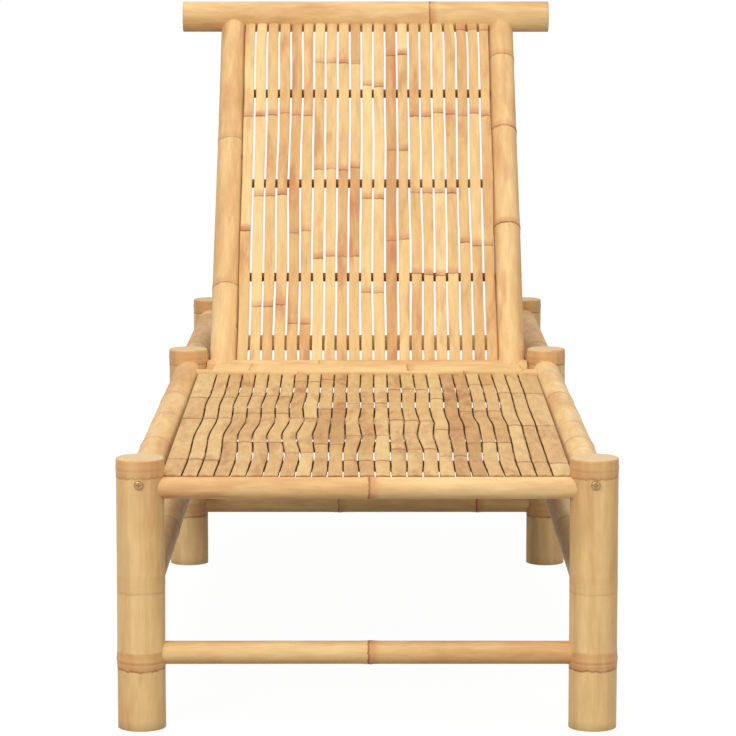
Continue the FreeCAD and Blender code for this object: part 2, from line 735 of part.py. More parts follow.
def main():
    make_sheet()
    make_posts()
    make_side_rails()
    make_stretchers()
    make_bolt_heads("front_bolts", "front_post_d", FRONT_Y, -1)
    make_bolt_heads("rear_bolts", "back_post_d", REAR_Y, 1)
    make_seat()
    make_racks()
    make_backrest()
    make_prop()
    DOC.recompute()
    check_document()
    write_parts()
    print(f"{len(SUB_PARTS)} sub-parts written")


main()
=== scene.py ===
"""Bamboo sun lounger: detailed culms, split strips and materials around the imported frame."""

import math
import random

import bpy
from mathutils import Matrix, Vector, noise


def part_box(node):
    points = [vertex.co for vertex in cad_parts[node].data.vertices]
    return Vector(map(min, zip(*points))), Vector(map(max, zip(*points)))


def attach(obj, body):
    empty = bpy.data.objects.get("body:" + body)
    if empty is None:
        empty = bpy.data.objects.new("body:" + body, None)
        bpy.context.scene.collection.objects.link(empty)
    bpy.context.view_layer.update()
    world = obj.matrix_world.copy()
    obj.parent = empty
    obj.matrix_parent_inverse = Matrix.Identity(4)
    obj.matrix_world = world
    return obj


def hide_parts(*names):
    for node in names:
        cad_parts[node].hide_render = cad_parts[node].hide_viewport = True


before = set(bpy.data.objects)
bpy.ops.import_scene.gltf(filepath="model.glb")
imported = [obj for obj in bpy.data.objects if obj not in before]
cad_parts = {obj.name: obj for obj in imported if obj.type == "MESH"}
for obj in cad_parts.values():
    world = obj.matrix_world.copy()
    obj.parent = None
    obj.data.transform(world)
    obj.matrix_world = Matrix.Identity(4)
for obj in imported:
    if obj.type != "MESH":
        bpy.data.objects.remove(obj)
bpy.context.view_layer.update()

MM = 0.001

# Places of the frame, in metres, the same as the model's
POST_X = 0.271
FRONT_Y = -0.92225
MIDDLE_Y = 0.18775
REAR_Y = 0.92275
POST_HEIGHT = 0.3286
FRONT_POST_R = 0.029
BACK_POST_R = 0.0285
RAIL_Z = 0.292
RAIL_R = 0.0205
RAIL_X = 0.2698
SIDE_STRETCHER_Z = 0.152
CROSS_STRETCHER_Z = 0.091
REAR_STRETCHER_Z = 0.102
FRONT_RAIL_Y = FRONT_Y - 0.0056
FRONT_RAIL_R = 0.0132
COPE_OVERLAP = 0.0008
REST_ANGLE = math.radians(47)
STILE_X = 0.2175
SEAT_TOP_Z = 0.306

# Directions of the backrest: along the stiles, and out of the front face
ALONG = Vector((0, math.cos(REST_ANGLE), math.sin(REST_ANGLE)))
OUTWARD = Vector((0, -math.sin(REST_ANGLE), math.cos(REST_ANGLE)))
PIVOT = Vector((0, MIDDLE_Y, RAIL_Z))


def on_backrest(x, lead, along):
    return PIVOT + Vector((x, 0, 0)) + OUTWARD * lead + ALONG * along


# Meshes with the attributes that the materials read

# How far from a node its ridge still lifts the surface of a culm, and of a split strip
CULM_RIDGE_REACH = 0.04
STRIP_RIDGE_REACH = 0.03

# What a point says to the materials: its distance above the nearest node, how strong that node
# is there, the internode's own tone, how much it is outer skin, and how much it is a knot
MARKS = {"ring": 0.05, "near": 0.0, "cell": 0.5, "skin": 1.0, "knot": 0.0}


class Surface:
    """Collects points and faces, with the grain's own coordinates at every point."""

    def __init__(self):
        self.points = []
        self.faces = []
        self.grain = []
        self.marks = {name: [] for name in MARKS}

    def point(self, place, grain, **marks):
        """Add a point. Marks that aren't given keep their plain value."""
        self.points.append(place)
        self.grain.append(grain)
        for name, plain in MARKS.items():
            self.marks[name].append(marks.get(name, plain))
        return len(self.points) - 1

    def bridge(self, first, second, closed=True):
        """Join two rows of points with quads."""
        count = len(first)
        for index in range(count if closed else count - 1):
            following = (index + 1) % count
            self.faces.append((first[index], first[following], second[following],
                               second[index]))

    def fan(self, row, hub, flip=False):
        count = len(row)
        for index in range(count):
            following = (index + 1) % count
            face = (row[following], row[index], hub) if flip else (row[index], row[following], hub)
            self.faces.append(face)

    def build(self, name, body, slot, material, replaced=(), sharp=40.0):
        mesh = bpy.data.meshes.new(name)
        mesh.from_pydata([tuple(p) for p in self.points], [], self.faces)
        mesh.update()
        grain = mesh.attributes.new("grain", "FLOAT_VECTOR", "POINT")
        grain.data.foreach_set("vector", [c for g in self.grain for c in g])
        for label, values in self.marks.items():
            layer = mesh.attributes.new(label, "FLOAT", "POINT")
            layer.data.foreach_set("value", values)
        mesh.shade_smooth()
        mesh.set_sharp_from_angle(angle=math.radians(sharp))
        mesh.materials.append(material)
        piece = bpy.data.objects.new(name, mesh)
        bpy.context.scene.collection.objects.link(piece)
        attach(piece, body)
        if replaced:
            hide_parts(*replaced)
        return piece


# Culms

KNOT_RISE = 0.0005
# Distances in mm from a node at which a culm gets a ring of points
RING_STEPS = [-18, -14, -11, -9, -7.5, -6.3, -5.3, -4.5, -3.9, -3.4, -2.9, -2.3, -1.6, -0.8, 0.0,
              0.8, 1.7, 2.8, 4.2, 6.2, 9, 13]


def node_profile(d, rise):
    """Height of a culm's surface at a distance above the ridge of its node, in metres."""
    d = d / MM
    height = 0.50 * rise * math.exp(-(d / 8.0) ** 2)
    height += 0.50 * rise * math.exp(-(d / 2.4) ** 2)
    height += 0.25 * rise * math.exp(-((d + 6.0) / 1.8) ** 2)
    height -= 0.22 * rise * math.exp(-((d + 3.4) / 0.8) ** 2)
    return height


def nearness(d):
    """1 at a node, falling to 0 by 40 mm away."""
    share = min(max((abs(d) / MM - 24) / 14, 0.0), 1.0)
    return 1 - share * share * (3 - 2 * share)


def saddle(start, along, place, hub, across, radius, far):
    """Distance along a line at which it meets a round pole, on the near or the far side."""
    offset = start + place - hub
    offset = offset - across * offset.dot(across)
    run = along - across * along.dot(across)
    a = run.dot(run)
    b = offset.dot(run)
    c = offset.dot(offset) - radius * radius
    disc = max(b * b - a * c, 0.0)
    root = math.sqrt(disc)
    return (-b + root) / a if far else (-b - root) / a


class Culm:
    """A bamboo pole between two points, with nodes given as (distance from its start, strength)."""

    def __init__(self, name, start, end, radii, nodes, seed, rise=1.0, sides=40,
                 cope=(None, None), bow=0.0, upward=1, kink=0.3, cap=("flat", "flat"), knots=()):
        self.name = name
        self.start = Vector(start)
        self.radii = radii
        self.nodes = sorted((at * MM, strength) for at, strength in nodes)
        self.rng = random.Random(seed)
        self.rise = rise * MM
        self.sides = sides
        self.cope = cope
        self.upward = upward
        self.cap = cap
        self.knots = knots
        run = Vector(end) - self.start
        self.length = run.length
        self.along = run.normalized()
        side = Vector((0, 0, 1)) if abs(self.along.z) < 0.5 else Vector((0, -1, 0))
        self.side = (side - self.along * side.dot(self.along)).normalized()
        self.other = self.along.cross(self.side)
        rng = self.rng
        self.turn = rng.uniform(0, 2 * math.pi)
        self.shift = Vector((rng.uniform(0, 9), rng.uniform(0, 9), rng.uniform(0, 9)))
        self.oval = rng.uniform(0.003, 0.009)
        self.cells = [rng.random() for _ in range(len(self.nodes) + 1)]
        self.leans = [rng.uniform(-0.35, 0.35) for _ in self.nodes]
        self.bow = bow * MM
        self.kinks = [(rng.uniform(-1, 1) * kink * MM, rng.uniform(-1, 1) * kink * MM)
                      for _ in range(len(self.nodes) + 2)]
        self.kinks[0] = self.kinks[-1] = (0.0, 0.0)

    def stations(self, low, high):
        """Distances along the pole where it gets a ring of points."""
        count = max(2, int(self.length / 0.011))
        spots = {self.length * index / count for index in range(1, count)}
        for node, _ in self.nodes:
            spots = {s for s in spots if not -20 * MM < (s - node) * self.upward < 15 * MM}
            spots |= {node + step * MM * self.upward for step in RING_STEPS}
        return [s for s in sorted(spots) if low + 2 * MM < s < high - 2 * MM]

    def drift(self, at):
        """Sideways wander of the pole's centre: a slow bow, and a slight kink at each node."""
        at = min(max(at, 0.0), self.length)
        wave = self.bow * math.sin(math.pi * at / self.length)
        marks = [0.0] + [node for node, _ in self.nodes] + [self.length]
        for index, (first, last) in enumerate(zip(marks, marks[1:])):
            if at <= last:
                share = (at - first) / (last - first)
                (ax, ay), (bx, by) = self.kinks[index], self.kinks[index + 1]
                return (wave * math.cos(self.turn) + ax + (bx - ax) * share,
                        wave * math.sin(self.turn) + ay + (by - ay) * share)
        return 0.0, 0.0

    def limits(self, end):
        """Where the wall ends all round at a coped end, or None."""
        if self.cope[end] is None:
            return None
        hub, across, radius = self.cope[end]
        row = []
        for angle in self.angles():
            place = self.side * (self.radii[end] * math.cos(angle))
            place = place + self.other * (self.radii[end] * math.sin(angle))
            row.append(saddle(self.start, self.along, place, hub, across, radius, end == 0))
        return row

    def angles(self):
        return [2 * math.pi * index / self.sides for index in range(self.sides)]

    def make(self, body, slot, material, replaced=()):
        surface = Surface()
        first, last = self.limits(0), self.limits(1)
        low = max(first) if first else 0.0
        high = min(last) if last else self.length
        levels = [[at] * self.sides for at in self.stations(low, high)]
        past = 1.2 * MM
        if first:
            levels = [[f + (low + past - f) * share for f in first]
                      for share in (0.0, 0.35, 0.75)] + levels
        else:
            levels = [[0.0] * self.sides] + levels
        if last:
            levels += [[f + (high - past - f) * share for f in last]
                       for share in (0.75, 0.35, 0.0)]
        else:
            levels += [[self.length] * self.sides]
        rows = [[self.spot(surface, at, angle) for at, angle in zip(level, self.angles())]
                for level in levels]
        for one, two in zip(rows, rows[1:]):
            surface.bridge(one, two)
        self.close(surface, rows[0], 0)
        self.close(surface, rows[-1], 1)
        return surface.build(self.name, body, slot, material, replaced, sharp=60)

    def spot(self, surface, at, angle):
        """Add one point of the culm's wall."""
        share = min(max(at / self.length, 0.0), 1.0)
        radius = self.radii[0] + (self.radii[1] - self.radii[0]) * share
        ring, near, cell = MARKS["ring"], MARKS["near"], 0
        for index, (node, strength) in enumerate(self.nodes):
            lean = self.leans[index] * radius * 0.12 * math.cos(angle + self.turn)
            gap = (at - node - lean) * self.upward
            if abs(gap) < abs(ring):
                ring = gap
                near = nearness(gap) * strength
            if abs(gap) < CULM_RIDGE_REACH:
                radius += node_profile(gap, self.rise * strength)
            if at > node:
                cell = index + 1
        wobble = noise.noise(Vector((math.cos(angle) * 1.3, math.sin(angle) * 1.3, at * 7)) +
                             self.shift)
        radius *= 1 + self.oval * math.cos(2 * (angle - self.turn)) + 0.006 * wobble
        knot = 0.0
        for place, bearing, size in self.knots:
            away = math.remainder(angle - math.radians(bearing), 2 * math.pi) * radius
            reach = math.hypot(away, (at - place * MM) * 0.6) / (size * MM)
            knot = max(knot, math.exp(-reach * reach))
        radius += KNOT_RISE * knot
        dx, dy = self.drift(at)
        u = radius * math.cos(angle)
        v = radius * math.sin(angle)
        place = self.start + self.along * at + self.side * (u + dx) + self.other * (v + dy)
        grain = (u + self.shift.x, v + self.shift.y, at + self.shift.z)
        return surface.point(place, grain, ring=ring, near=near, cell=self.cells[cell], knot=knot)

    def close(self, surface, row, end):
        """Close one end: a coped one with a fan, an open one by its cap's steps inwards."""
        flip = end == 1
        outward = self.along if flip else -self.along
        centre = sum((surface.points[index] for index in row), Vector()) / len(row)
        grain = surface.grain[row[0]]
        last = row
        rise = 0.0
        if self.cope[end] is None:
            for scale, rise, skin in CAPS[self.cap[end]]:
                fresh = []
                for index in row:
                    place = centre + (surface.points[index] - centre) * scale
                    old = surface.grain[index]
                    fresh.append(surface.point(place + outward * (rise * MM),
                                               (old[0], old[1], old[2] + 3.0), skin=skin))
                if flip:
                    surface.bridge(last, fresh)
                else:
                    surface.bridge(fresh, last)
                last = fresh
        hub = surface.point(centre + outward * (rise * MM), grain, skin=0.0)
        surface.fan(last, hub, not flip)


# Steps of a culm's end, each as (share of the radius, mm outwards, outer skin)
CAPS = {
    "flat": [(0.985, 0.4, 1.0), (0.96, 0.6, 0.5), (0.5, 0.6, 0.0)],
    "dome": [(0.992, 0.7, 1.0), (0.975, 1.35, 0.9), (0.945, 1.85, 0.6), (0.90, 2.2, 0.4),
             (0.82, 2.25, 0.3), (0.6, 1.7, 0.25), (0.3, 1.3, 0.25)],
    "hollow": [(0.985, 0.4, 1.0), (0.96, 0.6, 0.3), (0.76, 0.6, 0.0), (0.74, 0.1, 0.0),
               (0.72, -14, 0.0), (0.5, -17, 0.0)],
    "tenon": [(0.985, 0.3, 1.0), (0.64, 0.4, 0.0), (0.63, 0.6, 0.0), (0.63, 15.4, 0.0),
              (0.60, 16.0, 0.0)],
}


# Split strips

def strip_section(thickness, crown, sagging):
    """Outline of a split strip's section, as (share across, height, skin)."""
    points = []
    for share in (-1.0, -0.985, -0.94, -0.7, -0.35, 0.0, 0.35, 0.7, 0.94, 0.985, 1.0):
        top = thickness - crown * share * share
        if abs(share) == 1.0:
            points.append((share, top - 0.9 * MM, 0.35))
        elif abs(share) > 0.95:
            points.append((share, top - 0.35 * MM, 0.8))
        else:
            points.append((share, top, 1.0))
    sag = crown if sagging else 0.0
    for share in (1.0, 0.97, 0.5, 0.0, -0.5, -0.97, -1.0):
        lip = 0.3 * MM if abs(share) == 1.0 else 0.0
        points.append((share, lip - sag * share * share, 0.0))
    return points


def plain_ends(length):
    return lambda height: (0.0, length)


class Strips:
    """Split strips side by side, whose edges follow lines shared by neighbours."""

    def __init__(self, origin, across, run, length, thickness, crown, seed, ends=None,
                 sagging=False):
        self.origin = Vector(origin)
        self.across = Vector(across)
        self.run = Vector(run)
        self.up = self.across.cross(self.run)
        self.length = length
        self.ends = ends or plain_ends(length)
        self.rng = random.Random(seed)
        self.section = strip_section(thickness, crown, sagging)
        self.surface = Surface()

    def stations(self, nodes):
        edge = 1.2 * MM
        spots = {0.0, edge, self.length - edge, self.length}
        count = int(self.length / 0.009)
        spots |= {self.length * index / count for index in range(1, count)}
        for node in nodes:
            for step in (-8, -5, -3.4, -2.6, -2.0, -1.3, -0.6, 0.2, 1.0, 2.0, 3.5, 6, 9):
                if 2 * MM < node + step * MM < self.length - 2 * MM:
                    spots.add(node + step * MM)
        return sorted(spots)

    def add(self, left, right, nodes, rise, tint, spread=0.2):
        """Add a strip between two edges, each a function of the distance along."""
        rng = self.rng
        shift = Vector((rng.uniform(0, 9), rng.uniform(0, 9), rng.uniform(0, 9)))
        cells = [min(max(tint + rng.uniform(-spread, spread), 0.0), 1.0)
                 for _ in range(len(nodes) + 1)]
        strengths = [rng.uniform(0.5, 1.0) for _ in nodes]
        lift = rng.uniform(-0.25, 0.25) * MM
        tilt = rng.uniform(-0.012, 0.012)
        rows = []
        for at in self.stations(nodes):
            a, b = left(at), right(at)
            ring, near, bump = MARKS["ring"], MARKS["near"], 0.0
            for node, strength in zip(nodes, strengths):
                gap = at - node
                if abs(gap) < abs(ring):
                    ring = gap
                    near = nearness(gap) * strength
                if abs(gap) < STRIP_RIDGE_REACH:
                    bump += node_profile(gap, rise * strength)
            cell = cells[sum(1 for node in nodes if at > node)]
            shrink = 0.0 if min(at, self.length - at) > 1 * MM else 0.35 * MM
            row = []
            for share, height, skin in self.section:
                x = (a + b) / 2 + share * ((b - a) / 2 - shrink)
                z = height + (lift + tilt * share * (b - a) / 2) * skin
                if skin > 0.5:
                    z += bump * (1 - 0.5 * share * share) - shrink
                low, high = self.ends(z)
                spot = low + (high - low) * at / self.length
                place = self.origin + self.across * x + self.run * spot + self.up * z
                grain = (share * (b - a) / 2 + shift.x, z + shift.y, at + shift.z)
                row.append(self.surface.point(place, grain, ring=ring, near=near, cell=cell,
                                              skin=skin))
            rows.append(row)
        for one, two in zip(rows, rows[1:]):
            self.surface.bridge(two, one)
        for row, flip in ((rows[0], False), (rows[-1], True)):
            centre = sum((self.surface.points[index] for index in row), Vector()) / len(row)
            hub = self.surface.point(centre, self.surface.grain[row[5]], skin=0.0)
            self.surface.fan(row, hub, flip)


def smooth_line(table, at):
    """Read a value from a table of (place, value) pairs, eased between them."""
    if at <= table[0][0]:
        return table[0][1]
    for (a, low), (b, high) in zip(table, table[1:]):
        if at <= b:
            share = (at - a) / (b - a)
            ease = share * share * (3 - 2 * share)
            return low + (high - low) * (0.35 * share + 0.65 * ease)
    return table[-1][1]


# Materials

def srgb(red, green, blue):
    """A colour given in 0 to 255 as it looks, as linear values for a shader."""
    out = []
    for channel in (red, green, blue):
        c = channel / 255
        out.append(c / 12.92 if c <= 0.04045 else ((c + 0.055) / 1.055) ** 2.4)
    return (*out, 1.0)


class Nodes:
    """Short ways to add shader nodes and join them."""

    def __init__(self, owner):
        owner.use_nodes = True
        self.tree = owner.node_tree
        self.tree.nodes.clear()

    def add(self, kind, inputs=(), **settings):
        node = self.tree.nodes.new(kind)
        for name, value in settings.items():
            setattr(node, name, value)
        for name, value in dict(inputs).items():
            socket = node.inputs[name]
            if isinstance(value, bpy.types.NodeSocket):
                self.tree.links.new(value, socket)
            else:
                socket.default_value = value
        return node

    def attribute(self, name, output="Fac"):
        return self.add("ShaderNodeAttribute", attribute_name=name).outputs[output]

    def math(self, operation, first, second=0.0, clamp=False):
        return self.add("ShaderNodeMath", {0: first, 1: second}, operation=operation,
                        use_clamp=clamp).outputs[0]

    def remap(self, value, low, high, to_low=0.0, to_high=1.0, smooth=True):
        kind = "SMOOTHSTEP" if smooth else "LINEAR"
        return self.add("ShaderNodeMapRange",
                        {"Value": value, "From Min": low, "From Max": high, "To Min": to_low,
                         "To Max": to_high}, interpolation_type=kind).outputs["Result"]

    def mix(self, factor, first, second, blend="MIX"):
        node = self.add("ShaderNodeMix", data_type="RGBA", blend_type=blend)
        colours = [s for s in node.inputs if s.type == "RGBA"]
        for socket, value in ((node.inputs["Factor"], factor), (colours[0], first),
                              (colours[1], second)):
            if isinstance(value, bpy.types.NodeSocket):
                self.tree.links.new(value, socket)
            else:
                socket.default_value = value
        return [s for s in node.outputs if s.type == "RGBA"][0]

    def grey(self, value):
        return self.add("ShaderNodeCombineColor",
                        {"Red": value, "Green": value, "Blue": value}).outputs[0]

    def scaled(self, vector, x, y, z):
        return self.add("ShaderNodeVectorMath", {0: vector, 1: (x, y, z)},
                        operation="MULTIPLY").outputs["Vector"]

    def noise(self, vector, scale, detail=2.0, rough=0.5, distort=0.0):
        node = self.add("ShaderNodeTexNoise",
                        {"Vector": vector, "Scale": scale, "Detail": detail,
                         "Roughness": rough, "Distortion": distort})
        return node.outputs["Fac"]

    def ramp(self, value, stops):
        node = self.add("ShaderNodeValToRGB", {"Fac": value})
        ramp = node.color_ramp
        while len(ramp.elements) < len(stops):
            ramp.elements.new(0.5)
        for element, (place, colour) in zip(ramp.elements, stops):
            element.position = place
            element.color = colour
        return node.outputs["Color"]


def bamboo(name, tones, blush, scar, band=(-0.002, 0.002, 0.001, 0.013), cells=0.5,
           stained=0.4, mottle=0.08, panels=0.0, banding=0.7, flesh_and_gap_shade=None):
    """Bamboo: fibres along the grain, slow colour changes, and stained bands at the nodes.

    The band is given as where it starts below the node, how softly, where it starts to fade
    above the node, and over what length.
    """
    material = bpy.data.materials.new(name)
    n = Nodes(material)
    grain = n.attribute("grain", "Vector")
    ring, near = n.attribute("ring"), n.attribute("near")
    cell, skin, knot = n.attribute("cell"), n.attribute("skin"), n.attribute("knot")
    slow = n.noise(n.scaled(grain, 22, 22, 4), 1.0, 2.0, 0.5)
    patch = n.noise(n.scaled(grain, 110, 110, 20), 1.0, 3.0, 0.6)
    fibre = n.noise(n.scaled(grain, 800, 800, 14), 1.0, 3.0, 0.65)
    fleck = n.noise(n.scaled(grain, 240, 240, 60), 1.0, 4.0, 0.7)
    tone = n.math("ADD", n.math("MULTIPLY", cell, cells),
                  n.math("MULTIPLY", n.remap(slow, 0.3, 0.7, smooth=False), 1.0 - cells))
    tone = n.math("ADD", tone, n.math("MULTIPLY", n.math("SUBTRACT", patch, 0.5), 0.45))
    base = n.ramp(tone, [(0.12, tones[0]), (0.5, tones[1]), (0.9, tones[2])])
    if panels:
        strip = n.noise(n.scaled(grain, 62, 62, 1.6), 1.0, 2.0, 0.5)
        base = n.mix(n.remap(strip, 0.42, 0.64, 0.0, panels), base, tones[2])
    stain = n.remap(n.noise(n.scaled(grain, 40, 40, 9), 1.0, 3.0, 0.6), 0.50, 0.70)
    stain = n.math("MULTIPLY", stain, n.math("MULTIPLY", n.math("ADD", cell, 0.35), stained),
                   clamp=True)
    base = n.mix(stain, base, blush)
    value = n.math("MULTIPLY", n.remap(fibre, 0.35, 0.7, 0.975, 1.02, smooth=False),
                   n.remap(patch, 0.3, 0.7, 1.0 + mottle / 2, 1.0 - mottle, smooth=False))
    base = n.mix(1.0, base, n.grey(value), "MULTIPLY")
    specks = n.remap(fleck, 0.68, 0.76, 0.0, 0.5)
    base = n.mix(specks, base, scar)
    ragged = n.math("SUBTRACT", n.noise(n.scaled(grain, 130, 130, 30), 1.0, 2.0, 0.6), 0.5)
    far = n.math("ADD", ring, n.math("MULTIPLY", ragged, 0.005))
    zone = n.math("MULTIPLY", n.remap(far, band[0] - band[1], band[0]),
                  n.remap(far, band[2], band[2] + band[3], 1.0, 0.0))
    patchy = n.remap(n.noise(n.scaled(grain, 50, 50, 10), 1.0, 2.0), 0.3, 0.65, 0.55, 1.1)
    zone = n.math("MULTIPLY", n.math("MULTIPLY", zone, near), patchy)
    base = n.mix(n.math("MULTIPLY", zone, banding, clamp=True), base, blush)
    line = n.remap(n.math("ABSOLUTE", n.math("SUBTRACT", far, band[0])), 0.0004, 0.0021, 1.0, 0.0)
    line = n.math("MULTIPLY", n.math("MULTIPLY", line, near), n.math("MULTIPLY", patchy, banding))
    base = n.mix(n.math("MULTIPLY", line, 1.1, clamp=True), base, scar)
    base = n.mix(n.remap(knot, 0.25, 0.8, 0.0, 0.8), base, scar)
    # Where the surface is not outer skin (cut ends, strip sides and undersides) it takes the colour
    # given for what lies under the skin: the cut wood on posts and poles, and on the seat and
    # backrest strips a darker brown that is painted shade of the gaps between them
    if flesh_and_gap_shade:
        base = n.mix(n.remap(skin, 0.75, 0.3), base, flesh_and_gap_shade)
    height = n.math("ADD", n.math("MULTIPLY", fibre, 0.5), n.math("MULTIPLY", fleck, 0.5))
    bump = n.add("ShaderNodeBump", {"Strength": 0.22, "Distance": 0.0004, "Height": height})
    shader = n.add("ShaderNodeBsdfPrincipled",
                   {"Base Color": base, "Roughness": n.remap(fleck, 0.3, 0.7, 0.46, 0.60),
                    "Normal": bump.outputs[0], "Specular IOR Level": 0.22})
    n.add("ShaderNodeOutputMaterial", {"Surface": shader.outputs[0]})
    return material


def cad_bamboo(name, pale, mid, deep, axis):
    """A plainer fibre material for kept solids, whose grain follows one axis of the model."""
    material = bpy.data.materials.new(name)
    n = Nodes(material)
    place = n.add("ShaderNodeTexCoord").outputs["Object"]
    fine = [900, 900, 900]
    slow = [30, 30, 30]
    fine[axis] = 18
    slow[axis] = 4
    fibre = n.noise(n.scaled(place, *fine), 1.0, 3.0, 0.65)
    drift = n.noise(n.scaled(place, *slow), 1.0, 3.0, 0.5)
    tone = n.math("ADD", n.math("MULTIPLY", fibre, 0.35), n.math("MULTIPLY", drift, 0.65))
    base = n.ramp(tone, [(0.3, pale), (0.5, mid), (0.72, deep)])
    bump = n.add("ShaderNodeBump", {"Strength": 0.3, "Distance": 0.0003, "Height": fibre})
    shader = n.add("ShaderNodeBsdfPrincipled",
                   {"Base Color": base, "Roughness": n.remap(fibre, 0.3, 0.7, 0.45, 0.62),
                    "Normal": bump.outputs[0], "Specular IOR Level": 0.3})
    n.add("ShaderNodeOutputMaterial", {"Surface": shader.outputs[0]})
    return material


def steel(name):
    material = bpy.data.materials.new(name)
    n = Nodes(material)
    place = n.add("ShaderNodeTexCoord").outputs["Object"]
    scratch = n.noise(n.scaled(place, 700, 700, 700), 1.0, 4.0, 0.7)
    base = n.ramp(scratch, [(0.3, srgb(150, 120, 78)), (0.7, srgb(206, 174, 122))])
    bump = n.add("ShaderNodeBump", {"Strength": 0.15, "Distance": 0.0002, "Height": scratch})
    shader = n.add("ShaderNodeBsdfPrincipled",
                   {"Base Color": base, "Roughness": n.remap(scratch, 0.3, 0.7, 0.25, 0.45),
                    "Normal": bump.outputs[0], "Metallic": 0.85})
    n.add("ShaderNodeOutputMaterial", {"Surface": shader.outputs[0]})
    return material


POST_SKIN = bamboo("post_skin", (srgb(244, 209, 150), srgb(236, 196, 136), srgb(218, 174, 118)),
                   srgb(212, 152, 102), srgb(168, 114, 70), band=(-0.011, 0.002, 0.008, 0.004),
                   cells=0.2, stained=0.35, panels=0.45, banding=0.8,
                   flesh_and_gap_shade=srgb(226, 196, 150))
POLE_SKIN = bamboo("pole_skin", (srgb(248, 214, 156), srgb(238, 196, 136), srgb(222, 172, 114)),
                   srgb(214, 152, 106), srgb(158, 104, 62), cells=0.35, stained=0.5,
                   banding=0.75, flesh_and_gap_shade=srgb(222, 186, 134))
# The backrest strips' sides and undersides get a darker brown: painted shade in the gaps between
# the strips
BACK_SKIN = bamboo("back_strip_skin", (srgb(246, 213, 152), srgb(234, 192, 130),
                                       srgb(216, 162, 108)),
                   srgb(206, 138, 94), srgb(158, 102, 60), cells=0.75, stained=0.8,
                   banding=0.9, flesh_and_gap_shade=srgb(186, 140, 88))
# The seat strips' sides and undersides get a dark brown: painted shade in the gaps between the
# strips, not the pale inner wood of split bamboo
SEAT_SKIN = bamboo("seat_strip_skin", (srgb(236, 200, 138), srgb(222, 178, 118),
                                       srgb(196, 146, 94)),
                   srgb(186, 124, 80), srgb(132, 84, 46), cells=0.7, stained=0.8,
                   banding=1.0, flesh_and_gap_shade=srgb(132, 90, 50))
LATH_SKIN = bamboo("lath_skin", (srgb(248, 212, 150), srgb(240, 198, 136), srgb(226, 180, 120)),
                   srgb(212, 156, 108), srgb(170, 116, 70), cells=0.4, stained=0.4)
# The rods' much darker brown than the other bamboo is painted shade of where they sit behind the
# slats; the fibre streaks are the grain
ROD_PAINTED_SHADE_SKIN = cad_bamboo("rod_painted_shade_skin", srgb(176, 130, 78), srgb(150, 106, 60), srgb(122, 82, 44), 0)
RACK_SKIN = cad_bamboo("rack_skin", srgb(205, 160, 108), srgb(188, 142, 92), srgb(164, 118, 72), 1)
LEG_SKIN = cad_bamboo("prop_leg_skin", srgb(222, 182, 124), srgb(206, 162, 106),
                      srgb(184, 138, 86), 2)
STEEL = steel("zinc_steel")


# Posts

# Nodes of a post as (mm above its foot, strength): a strong one, a faint one, one at the top
POST_NODES = [(84, 1.0), (176, 0.22), (316, 0.6)]
POST_FOOT_RIM = 0.0006
POST_DOME = 0.0023


def make_posts():
    rows = (("front", FRONT_Y, FRONT_POST_R), ("middle", MIDDLE_Y, BACK_POST_R),
            ("rear", REAR_Y, BACK_POST_R))
    seed = 11
    for end, y, radius in rows:
        for name, side in (("left", -1), ("right", 1)):
            node = f"{end}_post_{name}"
            pole = Culm(f"{node}_culm", (side * POST_X, y, POST_FOOT_RIM),
                        (side * POST_X, y, POST_HEIGHT - POST_DOME), (radius, radius),
                        POST_NODES, seed, rise=1.1, sides=64, kink=0.2,
                        cap=("hollow", "dome"))
            pole.make("frame", "post_bamboo", POST_SKIN, [node])
            seed += 1


def post_cope(y, radius, side):
    return (Vector((side * POST_X, y, 0)), Vector((0, 0, 1)), radius - COPE_OVERLAP)


def rail_cope(side):
    return (Vector((side * RAIL_X, 0, RAIL_Z)), Vector((0, 1, 0)), RAIL_R - COPE_OVERLAP)


# Rails and stretchers

def make_rails():
    seed = 41
    for name, side in (("left", -1), ("right", 1)):
        front = post_cope(FRONT_Y, FRONT_POST_R, side)
        middle = post_cope(MIDDLE_Y, BACK_POST_R, side)
        rear = post_cope(REAR_Y, BACK_POST_R, side)
        # Faint nodes that only one of the two long rails has
        faint = [(520, 0.3)] if side < 0 else [(200, 0.3), (430, 0.4), (560, 0.3)]
        spans = (("side_rail", FRONT_Y, MIDDLE_Y, RAIL_Z, (RAIL_R, RAIL_R),
                  [(285, 1.0), (724, 1.0)] + faint, front, middle),
                 ("rear_side_rail", MIDDLE_Y, REAR_Y, RAIL_Z, (RAIL_R, 0.0198),
                  [(228, 1.0), (640, 1.0)], middle, rear),
                 ("side_stretcher", FRONT_Y, MIDDLE_Y, SIDE_STRETCHER_Z, (0.0179, 0.0179),
                  [(520, 1.0)], front, middle),
                 ("rear_side_stretcher", MIDDLE_Y, REAR_Y, SIDE_STRETCHER_Z, (0.0179, 0.0179),
                  [(300, 1.0)], middle, rear))
        for label, start, end, z, radii, nodes, first, second in spans:
            x = side * (RAIL_X if z == RAIL_Z else POST_X)
            pole = Culm(f"{label}_{name}_culm", (x, start, z), (x, end, z), radii, nodes, seed,
                        rise=0.8, cope=(first, second), upward=-1)
            pole.make("frame", "pole_bamboo", POLE_SKIN, [f"{label}_{name}"])
            seed += 1


